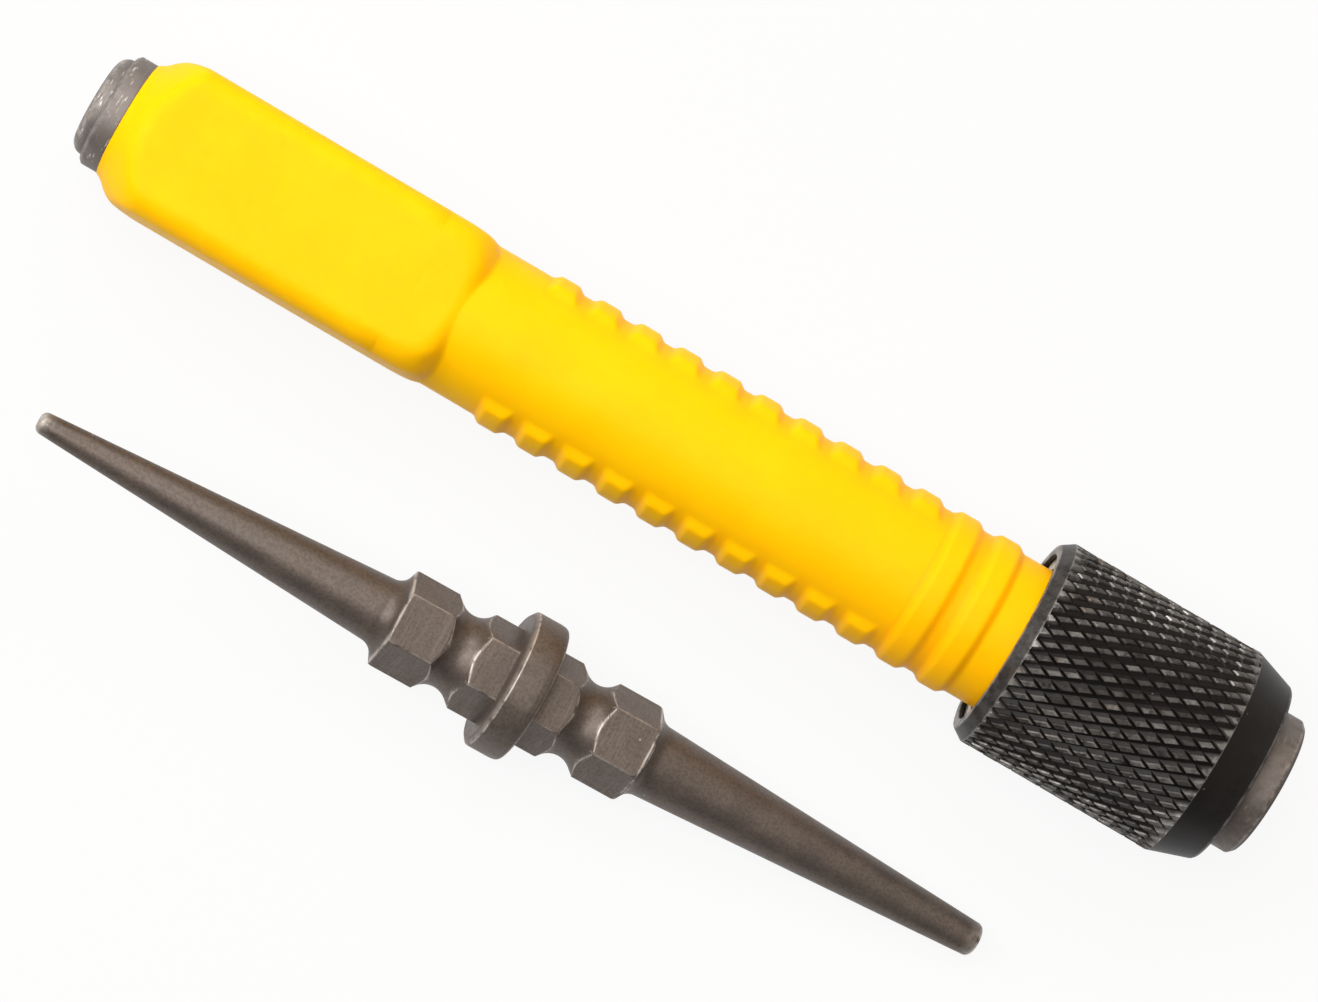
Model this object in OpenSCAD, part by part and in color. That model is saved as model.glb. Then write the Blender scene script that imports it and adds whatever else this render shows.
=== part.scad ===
// Nail setter: a struck holder with a knurled quick-release collar, and its loose double-ended punch bit.
// The holder's pieces are drawn on one axis, from the strike face at 0 towards the nose, and then laid down
// on the surface that they rest on. The bit is drawn on its own axis, from the small tip, and laid beside it.

/* [Strike end] */
// Diameter of the struck end
strike_d = 7.35; // [6:0.05:8]
// Length of the struck end
strike_l = 1; // [0.8:0.1:4]
// Rounding of the struck edge
strike_round = 0.9; // [0.2:0.1:1]
// Height of the flange that the grip starts from, over the shaft
head_step = 0.2; // [0.1:0.05:0.5]
// Length of that flange
head_l = 1.05; // [0.6:0.05:3]
// Edge break of that flange
head_edge = 0.25; // [0.1:0.05:0.4]

/* [Grip] */
// Height of the lip that meets the flange, over the flange
lip_step = 0.05; // [0.05:0.05:0.5]
// Length of the lip
lip_l = 0.65; // [0.1:0.05:1]
// Slope of the bevel from the lip up to the square
bevel_deg = 45; // [35:1:60]
// Width of the square part across its flats
square_w = 11.1; // [9.5:0.1:13.5]
// Rounding of the square's long corners
square_round = 1.8; // [0.8:0.1:2.4]
// Length of the square part along the middle of a flat
square_l = 25; // [12:0.1:40]
// Radius of the rounding that brings the square's end down to the round part
end_r = 4.5; // [3:0.1:7]
// Slope of that rounding where it meets the round part
end_deg = 55; // [45:1:70]
// Drop from a flat of the square to the round part
round_drop = 0.125; // [0.05:0.025:0.5]
// Wall of the grip round the shaft, along the round part
grip_wall = 1.405; // [0.9:0.005:1.5]
// Plain length between the square and the first rib
neck_l = 3.75; // [1:0.05:8]
// Plain length between the last rib and the collar
tail_l = 1.8; // [0.6:0.1:5]

/* [Ribs] */
// Number of ribs, rings included
rib_count = 12; // [4:1:16]
// Number of ribs at the collar end that run all the way round
rib_rings = 2; // [0:1:4]
// Distance from rib to rib
rib_pitch = 3.18; // [2.8:0.02:4]
// Length of a rib at its foot
rib_foot = 2.6; // [2:0.1:2.7]
// Length of a rib along its top
rib_top = 1.4; // [0.6:0.1:1.8]
// Height of a rib
rib_h = 0.38; // [0.2:0.02:0.6]
// Height of the side pads that carry the ribs
pad_h = 7.8; // [5:0.1:9.5]

/* [Collar] */
// Wall of the collar round its rear bore, over the knurl
collar_wall = 1.325; // [1.1:0.025:2]
// Length of the collar
collar_l = 18.7; // [16:0.1:24]
// Length of the chamfer at the collar's back
back_l = 0.9; // [0.5:0.1:2]
// Drop of that chamfer
back_drop = 0.6; // [0.2:0.05:0.7]
// Length of the cone at the collar's front
front_l = 3.1; // [1:0.1:5]
// Drop of that cone
front_drop = 1; // [0.4:0.05:1.2]
// Edge break of the collar's front face
front_edge = 0.15; // [0.1:0.05:0.5]

/* [Knurl] */
// Number of diamonds round the collar
knurl_count = 48; // [24:2:60]
// Number of diamond rows along the collar
knurl_rows = 13; // [7:1:15]
// Depth of the grooves between the diamonds
knurl_depth = 0.35; // [0.1:0.05:0.45]
// Share of its cell that a diamond's flat top takes along the wide grooves
along_share = 0.62; // [0.45:0.01:0.75]
// Share of its cell that a diamond's flat top takes across the wide grooves
across_share = 0.42; // [0.3:0.01:0.45]

/* [Barrel] */
// Diameter of the barrel that ends in the nose
barrel_d = 10.5; // [9:0.1:12.5]
// Length of nose that stands out of the collar
nose_l = 2.15; // [1:0.05:3]
// Chamfer of the nose's rim
nose_edge = 0.35; // [0.1:0.05:0.6]
// Distance from the nose's face to the shoulder that stops the collar
shoulder_back = 11; // [9.5:0.1:12]
// Length of that shoulder
shoulder_l = 1.5; // [1:0.1:2]
// Height of the step in the collar that meets that shoulder
stop_step = 0.6; // [0.4:0.05:1]

/* [Lock] */
// How far a locked ball stands out of the barrel
ball_proud = 0.1; // [0.05:0.01:0.3]
// Forward travel of the collar
collar_travel = 2.5; // [1.5:0.1:2.6]
// How far a ball backs out of the socket over that travel
ball_lift = 0.4; // [0.38:0.01:0.5]
// Diameter of the spring's wire
wire_d = 0.6; // [0.5:0.05:0.7]
// Number of turns of the spring
spring_turns = 4; // [3:1:4]
// Thickness of the retaining ring
ring_t = 0.7; // [0.5:0.05:0.9]
// Distance from the collar's back face to the retaining ring
ring_back = 0.4; // [0.3:0.1:1.4]
// Angle of the gap in the retaining ring
ring_gap_deg = 30; // [15:1:60]

/* [Bit] */
// Width of the bit's hexagon across its flats
hex_w = 6.35; // [6.3:0.01:6.4]
// Diameter of the bit's flange
flange_d = 10.4; // [9.6:0.1:10.4]
// Thickness of the flange
flange_t = 2.7; // [2:0.1:4]
// Edge break of the flange
flange_edge = 0.6; // [0.2:0.05:0.9]
// Length of hexagon between the flange and a groove
hex_in_l = 2.15; // [1.8:0.05:2.6]
// Length of a locking groove
groove_l = 2.9; // [2.6:0.05:3.4]
// Depth of a locking groove below a flat of the hexagon
groove_deep = 0.375; // [0.3:0.025:0.5]
// Length of hexagon outside a groove
hex_out_l = 3.4; // [2.5:0.1:4]
// Radius of the hollow at the root of a punch
root_r = 1.2; // [0.8:0.05:1.4]
// Length of the small punch
small_l = 26.3; // [20:0.1:30]
// Diameter of the small punch at its root
small_root_d = 4.7; // [4:0.1:5.4]
// Diameter of the small punch at its tip
small_tip_d = 1.6; // [1.2:0.1:2.4]
// Length of the large punch
large_l = 26.4; // [20:0.1:30]
// Diameter of the large punch at its root
large_root_d = 5.3; // [4.4:0.1:5.6]
// Diameter of the large punch at its tip
large_tip_d = 2.5; // [1.6:0.1:3.4]
// Edge break of a punch's tip
tip_edge = 0.5; // [0.1:0.05:0.6]

/* [Layout] */
// Distance between the holder's axis and the bit's flange, seen from above
bit_apart = 19.95; // [14:0.05:40]
// Distance from the strike face to the bit's flange, along the holder
bit_along = 44.9; // [40:0.1:56]
// Turn of the bit against the holder, seen from above
bit_yaw = 1.2; // [-4:0.1:4]
// Roll of the bit about its own axis, as it lies
bit_roll = 24.7; // [0:0.1:60]

/* [Hidden] */
$fn = 96;

// Clearances: running fit of the collar, other gaps between moving pieces, and fits that stand still
run_clear = 0.05;
ball_clear = 0.02;
lock_clear = 0.05;
socket_clear = 0.05;
shoulder_clear = 0.15;
stop_clear = 0.05;
spring_in_clear = 0.2;
spring_out_clear = 0.3;
spring_end_clear = 0.05;
ring_clear = 0.2;
ring_play = 0.05;
fit_clear = 0.02;
recess_clear = 0.1;
// How far the retaining ring sits in its groove, and how far cuts run past what they cut
ring_seat = 0.4;
over = 0.5;
// Room round a stored punch, and spare depth behind the bit in the socket and in the storage bore
bore_clear = 0.35;
socket_spare = 0.4;
bore_spare = 1.2;
drill_deg = 59;

// Diameters that follow from other pieces' sizes
round_d = square_w - 2 * round_drop;
shaft_d = round_d - 2 * (grip_wall + fit_clear);
head_d = shaft_d + 2 * head_step;
lip_d = head_d + 2 * lip_step;
groove_d = hex_w - 2 * groove_deep;
ball_d = barrel_d / 2 + ball_proud - groove_d / 2 - lock_clear;
bore_d = max(small_root_d, large_root_d) + 2 * bore_clear;

// Places along the holder's axis
grip_at = strike_l + head_l;
bevel_at = grip_at + lip_l;
square_at = bevel_at + (square_w - lip_d) / 2 / tan(bevel_deg);
end_in = round_d / 2 - end_r * cos(end_deg);
end_run = end_r * sin(end_deg) - sqrt(pow(end_r, 2) - pow(square_w / 2 - end_in, 2));
round_at = square_at + square_l + end_run;
end_mid = round_at - end_r * sin(end_deg);
ribs_at = round_at + neck_l;
tail_at = ribs_at + (rib_count - 1) * rib_pitch + rib_foot;
collar_at = tail_at + tail_l;
knurl_at = collar_at + back_l;
collar_end = collar_at + collar_l;
cone_at = collar_end - front_l;
nose_at = collar_end + nose_l;
shoulder_front = nose_at - shoulder_back;
shoulder_at = shoulder_front - shoulder_l;
step_at = shoulder_front + stop_clear;
ball_at = nose_at - hex_in_l - groove_l / 2;
ring_at = collar_at + ring_back;

// Radii and depths that follow from the fits
ball_r = ball_d / 2;
lock_r = groove_d / 2 + lock_clear + ball_r;
hole_r = ball_r + ball_clear;
socket_flat = hex_w / 2 + socket_clear;
seat_r = sqrt(pow(ball_r, 2) - pow(lock_r - socket_flat, 2)) + ball_clear;
shank_l = hex_in_l + groove_l + hex_out_l + root_r;
socket_l = shank_l + socket_spare;
bore_l = shank_l + max(small_l, large_l) + bore_spare;
land_r = barrel_d / 2 + run_clear;
ramp_slope = ball_lift / collar_travel;
ramp_deg = atan(ramp_slope);
ramp_r = lock_r + (ball_r + ball_clear) / cos(ramp_deg);
ramp_front = ball_at + (ramp_r - land_r) / ramp_slope;
recess_r = ramp_r + ball_lift + recess_clear;
ramp_back = ball_at - (recess_r - ramp_r) / ramp_slope;
rear_r = max(round_d / 2 + spring_in_clear + wire_d + spring_out_clear, recess_r + stop_step);
spring_r = rear_r - spring_out_clear - wire_d / 2;
collar_d = 2 * (rear_r + collar_wall);
shoulder_r = rear_r - shoulder_clear;
ring_in_r = round_d / 2 + ring_clear;
ring_out_r = rear_r + ring_seat;

// Lay of the holder: it rests on the back of its square and on the collar's back edge
holder_tilt = atan((collar_d - square_w) / 2 / (knurl_at - square_at));
holder_z = square_w / 2 * cos(holder_tilt) - square_at * sin(holder_tilt);

// Places along the bit's axis, and its lay: it rests on the flange's edge and on the large tip
flange_at = small_l + shank_l;
flange_end = flange_at + flange_t;
flange_mid = flange_at + flange_t / 2;
bit_l = flange_end + shank_l + large_l;
groove_drop = hex_w / cos(30) / 2 - groove_d / 2;
groove_r = (pow(groove_l / 2, 2) + pow(groove_drop, 2)) / 2 / groove_drop;
bit_rest_at = flange_end - flange_edge;
bit_tip_at = bit_l - tip_edge;
bit_tilt = atan((flange_d - large_tip_d) / 2 / (bit_tip_at - bit_rest_at));
bit_z = (bit_rest_at - flange_mid) * sin(bit_tilt) + flange_d / 2 * cos(bit_tilt);

// The origin lies under the middle of everything that stands on the surface
middle_x = nose_at * cos(holder_tilt) / 2;
holder_y = (bit_apart + flange_d / 2 - collar_d / 2) / 2;
bit_y = holder_y - bit_apart;

steel = [0.5, 0.48, 0.47];
bit_steel = [0.42, 0.38, 0.35];
black_steel = [0.18, 0.17, 0.17];
tan_steel = [0.6, 0.54, 0.46];
yellow = [0.98, 0.8, 0.12];

// Points of one ring of wire, square to the path
function across(p, along, side, r, sides) =
    let (up = cross(along, side))
    [for (k = [0:sides - 1]) p + r * (cos(360 / sides * k) * side + sin(360 / sides * k) * up)];

// A solid turned about the axis from an outline in radius and place along the axis
module turn(angle = 360) {
    rotate([0, 90, 0]) rotate_extrude(angle = angle) children();
}

module on_holder() {
    translate([-middle_x, holder_y, holder_z]) rotate([0, -holder_tilt, 0]) children();
}

module on_bit() {
    translate([bit_along * cos(holder_tilt) - middle_x, bit_y, bit_z])
        rotate([bit_roll, bit_tilt, bit_yaw]) translate([-flange_mid, 0, 0]) children();
}

// A six-sided bar along the axis, with flats on both sides
module hex_bar(flat, from, to) {
    translate([from, 0, 0]) rotate([0, 90, 0]) cylinder(r = flat / cos(30), h = to - from, $fn = 6);
}

// The hole that a ball moves in: a drilled hole with a narrower seat at the socket
module ball_hole(side) {
    translate([ball_at, 0, 0]) rotate([-90 * side, 0, 0]) {
        seat_at = lock_r - ball_r / 2;
        translate([0, 0, seat_at]) cylinder(r = hole_r, h = barrel_d / 2 - seat_at + over);
        translate([0, 0, socket_flat]) cylinder(r1 = seat_r, r2 = hole_r, h = seat_at - socket_flat);
        cylinder(r = seat_r, h = socket_flat + ball_clear);
    }
}

module core_shank() {
    bore_end = nose_at - bore_l;
    color(steel) on_holder() difference() {
        turn() difference() {
            polygon([[0, 0], [strike_d / 2, 0], [strike_d / 2, strike_l], [head_d / 2 - head_edge, strike_l],
                     [head_d / 2, strike_l + head_edge], [head_d / 2, grip_at], [shaft_d / 2, grip_at],
                     [shaft_d / 2, shoulder_at], [shoulder_r, shoulder_at], [shoulder_r, shoulder_front],
                     [barrel_d / 2, shoulder_front], [barrel_d / 2, nose_at - nose_edge],
                     [barrel_d / 2 - nose_edge, nose_at], [0, nose_at]]);
            translate([strike_d / 2 - strike_round, -over]) difference() {
                square([strike_round + over, strike_round + over]);
                translate([0, strike_round + over]) circle(r = strike_round);
            }
        }
        hex_bar(socket_flat, nose_at - socket_l, nose_at + over);
        turn() polygon([[0, bore_end - bore_d / 2 / tan(drill_deg)], [bore_d / 2, bore_end],
                        [bore_d / 2, nose_at], [0, nose_at]]);
        for (side = [-1, 1]) ball_hole(side);
    }
}

// One rib, as a ring
module rib(at) {
    turn() polygon([[shaft_d / 2, at], [round_d / 2, at], [round_d / 2 + rib_h, at + (rib_foot - rib_top) / 2],
                    [round_d / 2 + rib_h, at + (rib_foot + rib_top) / 2], [round_d / 2, at + rib_foot],
                    [shaft_d / 2, at + rib_foot]]);
}

// The square bar with rounded long corners
module square_bar(from, to) {
    inner = square_w / 2 - square_round;
    translate([from, 0, 0]) rotate([0, 90, 0]) linear_extrude(to - from) {
        square([square_w, 2 * inner], center = true);
        square([2 * inner, square_w], center = true);
        for (x = [-inner, inner], y = [-inner, inner]) translate([x, y]) circle(r = square_round);
    }
}

// The outline that turns both ends of the square bar
module square_turning() {
    reach = square_w;
    polygon([[0, grip_at], [lip_d / 2, grip_at], [lip_d / 2, bevel_at],
             [lip_d / 2 + reach * sin(bevel_deg), bevel_at + reach * cos(bevel_deg)],
             [lip_d / 2 + reach * sin(bevel_deg), end_mid], [0, end_mid]]);
    intersection() {
        translate([end_in, end_mid]) circle(r = end_r);
        translate([0, end_mid]) square([reach, round_at - end_mid]);
    }
}

module grip() {
    pads = rib_count - rib_rings;
    color(yellow) on_holder() difference() {
        union() {
            intersection() {
                square_bar(grip_at, round_at);
                turn() square_turning();
            }
            turn() translate([0, round_at - over]) square([round_d / 2, shoulder_at - round_at + over]);
            intersection() {
                for (k = [0:pads - 1]) rib(ribs_at + k * rib_pitch);
                translate([ribs_at - over, -square_w, -pad_h / 2])
                    cube([tail_at - ribs_at + 2 * over, 2 * square_w, pad_h]);
            }
            for (k = [pads:rib_count - 1]) rib(ribs_at + k * rib_pitch);
        }
        turn() translate([0, grip_at - over])
            square([shaft_d / 2 + fit_clear, shoulder_at - grip_at + 2 * over]);
    }
}

module return_spring() {
    turn_rings = 24;
    rings = turn_rings * spring_turns;
    from = ring_at + ring_t + ring_play + spring_end_clear + wire_d / 2;
    to = shoulder_at - spring_end_clear - wire_d / 2;
    rise = (to - from) / 360 / spring_turns * 180 / PI;
    path = [for (k = [0:rings]) let (turned = 360 * spring_turns * k / rings)
            [from + (to - from) * k / rings, spring_r * cos(turned), spring_r * sin(turned)]];
    echo(spring_gap = (to - from) / spring_turns - wire_d);
    sides = 6;
    points = [for (k = [0:rings]) let (turned = 360 * spring_turns * k / rings,
              along = [rise, -spring_r * sin(turned), spring_r * cos(turned)],
              side = [0, cos(turned), sin(turned)])
              each across(path[k], along / norm(along), side, wire_d / 2, sides)];
    walls = [for (k = [0:rings - 1], j = [0:sides - 1])
             let (a = sides * k + j, b = sides * k + (j + 1) % sides)
             each [[a, b, b + sides], [a, b + sides, a + sides]]];
    start = [for (j = [1:sides - 2]) [0, j + 1, j]];
    end = [for (j = [1:sides - 2]) sides * rings * [1, 1, 1] + [0, j, j + 1]];
    color(steel) on_holder() polyhedron(points, concat(walls, start, end));
}

// Outside of the collar, about the upright axis: rows of flat-topped diamonds on a staggered grid, between a
// plain chamfer and a plain cone. Every cell is a diamond of groove floor with its corners on the crossings of
// the grooves, and its top is longer along one set of grooves, so that set is narrower and the other is wider.
// The first and the last row are cut across their middle, against the plain ends' rims.
module collar_outside() {
    n = knurl_count;
    last = knurl_rows;
    step = (cone_at - knurl_at) / last;
    top_r = collar_d / 2;
    face_r = top_r - front_drop;
    total = n * (last + 1);
    cuts = 5 * total - 2 * n;
    ends = cuts + 2 * n;
    half_share = (along_share + across_share) / 2;
    skew_share = (along_share - across_share) / 2;
    function spot(r, i, row, rise) =
        let (deg = 360 / n * (i + (row % 2) / 2)) [r * cos(deg), r * sin(deg), knurl_at + step * (row + rise)];
    function rim(r, row, place) =
        [for (i = [0:n - 1], way = [-1, 1])
         let (p = spot(r, i + way * across_share / 2, row, 0)) [p.x, p.y, place]];
    function side(i, row, way) = row == (way < 0 ? 0 : last)
        ? spot(top_r, i + way * across_share / 2, row, 0)
        : spot(top_r, i + way * half_share / 2, row, way * skew_share);
    function tip(i, row, way) = spot(top_r, i + way * skew_share / 2, row, way * half_share);
    function at(i, row) = row * n + (i + n) % n;
    function left(i, row) = total + at(i, row);
    function right(i, row) = 2 * total + at(i, row);
    function fore(i, row) = 3 * total + at(i, row);
    function aft(i, row) = 4 * total - n + at(i, row - 1);
    function past(i, row, way) = at(i - 1 + row % 2, row + way);
    function quad(a, b, c, d) = [[a, b, c], [a, c, d]];
    function band(low, high) = [for (k = [0:2 * n - 1]) let (next = (k + 1) % (2 * n))
        each quad(low[k], high[k], high[next], low[next])];
    function cut_right(i) = cuts + (i + n) % n;
    function cut_left(i) = cuts + n + (i + n) % n;
    rim_back = [for (i = [0:n - 1]) each [left(i, 0), cut_right(i)]];
    rim_front = [for (i = [0:n - 1]) each [cut_left(i), right(i, last)]];
    function end_rim(k) = [for (j = [0:2 * n - 1]) ends + 2 * n * k + j];
    points = concat(
        [for (row = [0:last], i = [0:n - 1]) spot(top_r - knurl_depth, i + 1 / 2, row, 0)],
        [for (row = [0:last], i = [0:n - 1]) side(i, row, -1)],
        [for (row = [0:last], i = [0:n - 1]) side(i, row, 1)],
        [for (row = [0:last - 1], i = [0:n - 1]) tip(i, row, 1)],
        [for (row = [1:last], i = [0:n - 1]) tip(i, row, -1)],
        [for (i = [0:n - 1]) spot(top_r, i + across_share / 2, 0, 0)],
        [for (i = [0:n - 1]) spot(top_r, i - across_share / 2, last, 0)],
        rim(top_r - back_drop, 0, collar_at),
        rim(face_r, last, collar_end - front_edge),
        rim(face_r - front_edge, last, collar_end));
    upper = [for (row = [0:last - 1], i = [0:n - 1]) each concat(
        [[left(i, row), fore(i, row), right(i, row)]],
        quad(at(i - 1, row), past(i, row, 1), fore(i, row), left(i, row)),
        quad(past(i, row, 1), at(i, row), right(i, row), fore(i, row)))];
    lower = [for (row = [1:last], i = [0:n - 1]) each concat(
        [[left(i, row), right(i, row), aft(i, row)]],
        quad(at(i, row), past(i, row, -1), aft(i, row), right(i, row)),
        quad(past(i, row, -1), at(i - 1, row), left(i, row), aft(i, row)))];
    cut_tops = [for (i = [0:n - 1]) each [[left(i, 0), right(i, 0), cut_right(i)],
                                          [cut_right(i), right(i, 0), at(i, 0)],
                                          [right(i, last), left(i, last), cut_left(i)],
                                          [cut_left(i), left(i, last), at(i - 1, last)]]];
    groove_ends = [for (i = [0:n - 1]) each [[left(i + 1, 0), cut_right(i), at(i, 0)],
                                             [right(i, last), cut_left(i + 1), at(i, last)]]];
    plain = concat(band(end_rim(0), rim_back), band(rim_front, end_rim(1)), band(end_rim(1), end_rim(2)));
    caps = [end_rim(0), [for (j = [2 * n - 1:-1:0]) ends + 4 * n + j]];
    polyhedron(points, concat(upper, lower, cut_tops, groove_ends, plain, caps));
}

module collar() {
    groove_at = ring_at - ring_play;
    groove_end = ring_at + ring_t + ring_play;
    groove_out = ring_out_r + ring_play;
    color(black_steel) on_holder() difference() {
        rotate([0, 90, 0]) mirror([0, 1, 0]) collar_outside();
        turn() polygon([[0, collar_at - over], [rear_r, collar_at - over], [rear_r, groove_at],
                        [groove_out, groove_at], [groove_out, groove_end], [rear_r, groove_end],
                        [rear_r, step_at], [recess_r, step_at], [recess_r, ramp_back],
                        [land_r, ramp_front], [land_r, collar_end + over], [0, collar_end + over]]);
    }
}

module retaining_ring() {
    color(tan_steel) on_holder() rotate([ring_gap_deg / 2, 0, 0]) turn(360 - ring_gap_deg)
        translate([ring_in_r, ring_at]) square([ring_out_r - ring_in_r, ring_t]);
}

module locking_ball(side) {
    color(steel) on_holder() translate([ball_at, side * lock_r, 0]) sphere(r = ball_r);
}

// The outline that turns one hexagonal shank of the bit: its locking groove and the hollow at the punch's root
module shank_turning(root_d) {
    reach = hex_w;
    difference() {
        square([reach, shank_l]);
        translate([groove_d / 2 + groove_r, hex_in_l + groove_l / 2]) circle(r = groove_r);
        translate([root_d / 2 + root_r, shank_l]) circle(r = root_r);
        translate([root_d / 2 + root_r, shank_l - root_r]) square([reach, root_r + over]);
    }
}

// One half of the bit, standing on the flange's face: hexagonal shank and tapered punch
module bit_half(root_d, tip_d, length) {
    intersection() {
        hex_bar(hex_w / 2, -over, shank_l + over);
        turn() shank_turning(root_d);
    }
    turn() polygon([[0, shank_l - over], [root_d / 2, shank_l - over], [root_d / 2, shank_l],
                    [tip_d / 2, shank_l + length - tip_edge], [tip_d / 2 - tip_edge, shank_l + length],
                    [0, shank_l + length]]);
}

module punch_bit() {
    color(bit_steel) on_bit() {
        translate([flange_at, 0, 0]) mirror([1, 0, 0]) bit_half(small_root_d, small_tip_d, small_l);
        turn() polygon([[0, flange_at], [flange_d / 2 - flange_edge, flange_at],
                        [flange_d / 2, flange_at + flange_edge], [flange_d / 2, flange_end - flange_edge],
                        [flange_d / 2 - flange_edge, flange_end], [0, flange_end]]);
        translate([flange_end, 0, 0]) bit_half(large_root_d, large_tip_d, large_l);
    }
}

core_shank();
grip();
return_spring();
collar();
retaining_ring();
locking_ball(1);  // locking_ball_left
locking_ball(-1);  // locking_ball_right
punch_bit();
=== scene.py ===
import math

import bpy
import numpy as np
from mathutils import Matrix, Vector


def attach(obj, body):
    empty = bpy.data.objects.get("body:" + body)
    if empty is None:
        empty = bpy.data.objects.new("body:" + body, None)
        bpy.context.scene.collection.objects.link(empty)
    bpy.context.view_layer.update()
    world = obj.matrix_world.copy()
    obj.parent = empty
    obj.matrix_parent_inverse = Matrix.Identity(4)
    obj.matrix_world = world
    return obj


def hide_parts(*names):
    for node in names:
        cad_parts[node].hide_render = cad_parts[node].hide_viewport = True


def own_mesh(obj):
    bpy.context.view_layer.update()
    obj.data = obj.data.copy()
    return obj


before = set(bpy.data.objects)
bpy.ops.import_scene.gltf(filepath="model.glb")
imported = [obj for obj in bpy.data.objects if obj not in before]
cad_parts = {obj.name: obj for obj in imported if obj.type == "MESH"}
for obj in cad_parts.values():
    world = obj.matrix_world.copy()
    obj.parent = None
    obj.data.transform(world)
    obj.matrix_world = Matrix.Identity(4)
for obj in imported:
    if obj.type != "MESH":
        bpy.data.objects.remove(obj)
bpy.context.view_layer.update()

MM = 0.001
RNG = np.random.default_rng(7)

# Driving sizes in mm and degrees, with the names and values that they have in the part's source
# Strike end of the core, and the flange that the grip starts from
strike_d = 7.35
strike_l = 1.0
strike_round = 0.9
head_step = 0.2
head_l = 1.05
head_edge = 0.25

# Grip
lip_step = 0.05
lip_l = 0.65
bevel_deg = 45.0
square_w = 11.1
square_round = 1.8
square_l = 25.0
end_r = 4.5
end_deg = 55.0
round_drop = 0.125
grip_wall = 1.405
neck_l = 3.75
tail_l = 1.8

# Ribs of the grip
rib_count = 12
rib_rings = 2
rib_pitch = 3.18
rib_foot = 2.6
rib_top = 1.4
rib_h = 0.38
pad_h = 7.8

# Collar and its knurl
collar_wall = 1.325
collar_l = 18.7
back_l = 0.9
back_drop = 0.6
front_l = 3.1
front_drop = 1.0
front_edge = 0.15
knurl_count = 48
knurl_rows = 13
knurl_depth = 0.35
along_share = 0.62
across_share = 0.42

# Barrel, nose and shoulder of the core
barrel_d = 10.5
nose_l = 2.15
nose_edge = 0.35
shoulder_back = 11.0
shoulder_l = 1.5
stop_step = 0.6
drill_deg = 59.0

# Lock, return spring and snap ring
ball_proud = 0.1
collar_travel = 2.5
ball_lift = 0.4
wire_d = 0.6
spring_turns = 4
ring_t = 0.7
ring_back = 0.4
ring_seat = 0.4
ring_gap_deg = 30.0

# Bit
hex_w = 6.35
flange_d = 10.4
flange_t = 2.7
flange_edge = 0.6
hex_in_l = 2.15
groove_l = 2.9
groove_deep = 0.375
hex_out_l = 3.4
root_r = 1.2
small_l = 26.3
small_root_d = 4.7
small_tip_d = 1.6
large_l = 26.4
large_root_d = 5.3
large_tip_d = 2.5
tip_edge = 0.5

# Where the bit lies beside the holder
bit_apart = 19.95
bit_along = 44.9
bit_yaw = 1.2
bit_roll = 24.7

# Clearances and spare depths
run_clear = 0.05
ball_clear = 0.02
lock_clear = 0.05
socket_clear = 0.05
shoulder_clear = 0.15
stop_clear = 0.05
spring_in_clear = 0.2
spring_out_clear = 0.3
spring_end_clear = 0.05
ring_clear = 0.2
ring_play = 0.05
fit_clear = 0.02
recess_clear = 0.1
bore_clear = 0.35
socket_spare = 0.4
bore_spare = 1.2

# Sizes that follow from them
strike_r = strike_d / 2
square_half = square_w / 2
bevel_slope = math.tan(math.radians(bevel_deg))
round_r = square_half - round_drop
shaft_r = round_r - grip_wall - fit_clear
head_r = shaft_r + head_step
lip_r = head_r + lip_step
barrel_r = barrel_d / 2
hex_flat = hex_w / 2
groove_bottom = hex_flat - groove_deep
ball_r = (barrel_r + ball_proud - groove_bottom - lock_clear) / 2
lock_r = groove_bottom + lock_clear + ball_r
hole_r = ball_r + ball_clear
socket_flat = hex_flat + socket_clear
seat_r = math.sqrt(ball_r ** 2 - (lock_r - socket_flat) ** 2) + ball_clear
shank_l = hex_in_l + groove_l + hex_out_l + root_r
socket_l = shank_l + socket_spare
bore_r = max(small_root_d, large_root_d) / 2 + bore_clear
bore_l = shank_l + max(small_l, large_l) + bore_spare
land_r = barrel_r + run_clear
ramp_slope = ball_lift / collar_travel
ramp_r = lock_r + hole_r / math.cos(math.atan(ramp_slope))
recess_r = ramp_r + ball_lift + recess_clear
rear_r = max(round_r + spring_in_clear + wire_d + spring_out_clear, recess_r + stop_step)
wire_r = wire_d / 2
spring_r = rear_r - spring_out_clear - wire_r
collar_r = rear_r + collar_wall
shoulder_r = rear_r - shoulder_clear
ring_in_r = round_r + ring_clear
ring_out_r = rear_r + ring_seat
flange_r = flange_d / 2

# Places along the holder's axis; the sleeve's mouth shows a little up its lip
mouth_in = 0.45
grip_at = strike_l + head_l
sleeve_at = grip_at + mouth_in
bevel_at = grip_at + lip_l
square_at = bevel_at + (square_half - lip_r) / bevel_slope
end_in = round_r - end_r * math.cos(math.radians(end_deg))
end_run = end_r * math.sin(math.radians(end_deg)) - math.sqrt(end_r ** 2 - (square_half - end_in) ** 2)
round_at = square_at + square_l + end_run
end_mid = round_at - end_r * math.sin(math.radians(end_deg))
ribs_at = round_at + neck_l
tail_at = ribs_at + (rib_count - 1) * rib_pitch + rib_foot
collar_at = tail_at + tail_l
knurl_at = collar_at + back_l
collar_end = collar_at + collar_l
cone_at = collar_end - front_l
nose_at = collar_end + nose_l
shoulder_front = nose_at - shoulder_back
shoulder_at = shoulder_front - shoulder_l
step_at = shoulder_front + stop_clear
ball_at = nose_at - hex_in_l - groove_l / 2
ramp_front = ball_at + (ramp_r - land_r) / ramp_slope
ramp_back = ball_at - (recess_r - ramp_r) / ramp_slope
ring_at = collar_at + ring_back

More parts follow.
